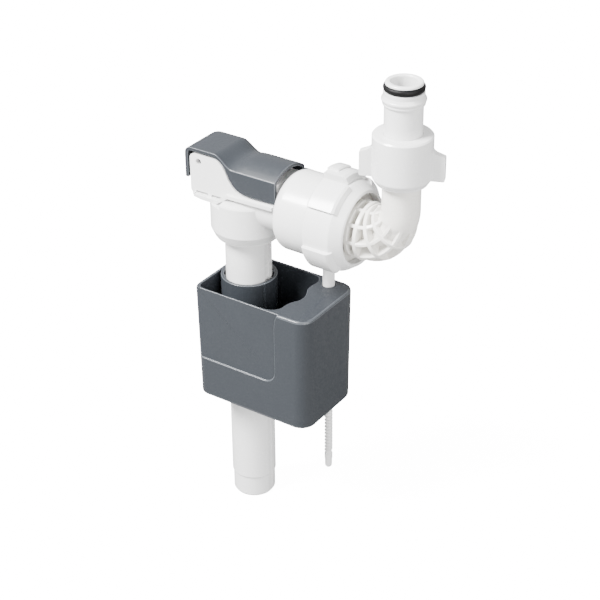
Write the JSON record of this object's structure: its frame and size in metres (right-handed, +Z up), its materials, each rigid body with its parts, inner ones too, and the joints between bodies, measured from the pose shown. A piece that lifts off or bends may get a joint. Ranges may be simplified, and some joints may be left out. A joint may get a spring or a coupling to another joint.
{
  "type": "float valve",
  "caption": "Side-inlet cistern float valve: float cup sliding on an outlet tube, lever hood over the valve head, union nut, finned elbow, wing nut and sealed inlet spigot.",
  "frame": {"origin": "centre of the outlet tube's bore at its lower end", "axes": "+Z up along the outlet tube, +X along the inlet barrel from the head towards the elbow, +Y to the side where the lever's arm passes the barrel"},
  "size_m": [0.1267, 0.0479, 0.2426],
  "materials": {
    "white_plastic": "satin injection-moulded",
    "fin_plastic": "satin injection-moulded, warm white",
    "grey_plastic": "fine matt texture",
    "black_rubber": "smooth",
    "grey_rubber": "smooth",
    "blue_plastic": "plain"
  },
  "bodies": {
    "valve_body": {"outlet_tube": "white_plastic", "silencer_tube": "white_plastic", "valve_head": "white_plastic", "inlet_barrel": "white_plastic", "seat_tube": "white_plastic", "pilot_jet": "white_plastic", "strainer": "blue_plastic", "flow_restrictor": "blue_plastic", "tube_seal": "grey_rubber", "lever_pin": "grey_plastic", "union_washer": "black_rubber"},
    "diaphragm": {"diaphragm": "grey_rubber", "diaphragm_carrier": "white_plastic"},
    "lever": {"lever_arm": "grey_plastic", "pilot_pad": "grey_rubber"},
    "rod_swivel": {"rod_cap": "white_plastic"},
    "rod": {"adjusting_rod": "white_plastic"},
    "float": {"float_cup": "grey_plastic", "thread_clip": "white_plastic"},
    "union_nut": {"union_nut": "white_plastic"},
    "elbow": {"elbow": "fin_plastic"},
    "wing_nut": {"wing_nut": "white_plastic"},
    "spigot": {"inlet_spigot": "white_plastic", "spigot_washer": "black_rubber", "spigot_ring": "black_rubber"}
  },
  "joints": [
    {"name": "float_travel", "type": "slide", "parent": "valve_body", "child": "rod_swivel", "axis": [0, 0, 1], "range_m": [0, 0.0065]},
    {"name": "lever_tilt", "type": "hinge", "parent": "valve_body", "child": "lever", "pos_m": [-0.0184, 0, 0.1832], "axis": [0, -1, 0], "range_deg": [0, 6.4]},
    {"name": "level_adjust", "type": "slide", "parent": "rod_swivel", "child": "float", "axis": [0, 0, 1], "range_m": [-0.02, 0]},
    {"name": "rod_turn", "type": "hinge", "parent": "rod_swivel", "child": "rod", "pos_m": [0.0376, 0.0117, 0.1372], "axis": [0, 0, 1], "range_deg": [-1, 3601]},
    {"name": "union_nut_turn", "type": "hinge", "parent": "valve_body", "child": "union_nut", "pos_m": [0.05, 0, 0.1673], "axis": [1, 0, 0], "continuous": true},
    {"name": "elbow_swivel", "type": "hinge", "parent": "valve_body", "child": "elbow", "pos_m": [0.06, 0, 0.1673], "axis": [1, 0, 0], "continuous": true},
    {"name": "wing_nut_turn", "type": "hinge", "parent": "elbow", "child": "wing_nut", "pos_m": [0.0826, 0, 0.2], "axis": [0, 0, 1], "continuous": true},
    {"name": "spigot_swivel", "type": "hinge", "parent": "elbow", "child": "spigot", "pos_m": [0.0826, 0, 0.23], "axis": [0, 0, 1], "continuous": true},
    {"name": "diaphragm_lift", "type": "slide", "parent": "valve_body", "child": "diaphragm", "axis": [-1, 0, 0], "range_m": [0, 0.0015], "stiffness_N_per_m": 200}
  ],
  "couplings": [
    {"joint": "lever_tilt", "follows": "float_travel", "rad_per_m": 17.03},
    {"joint": "rod_turn", "follows": "level_adjust", "rad_per_m": -3141.5}
  ]
}
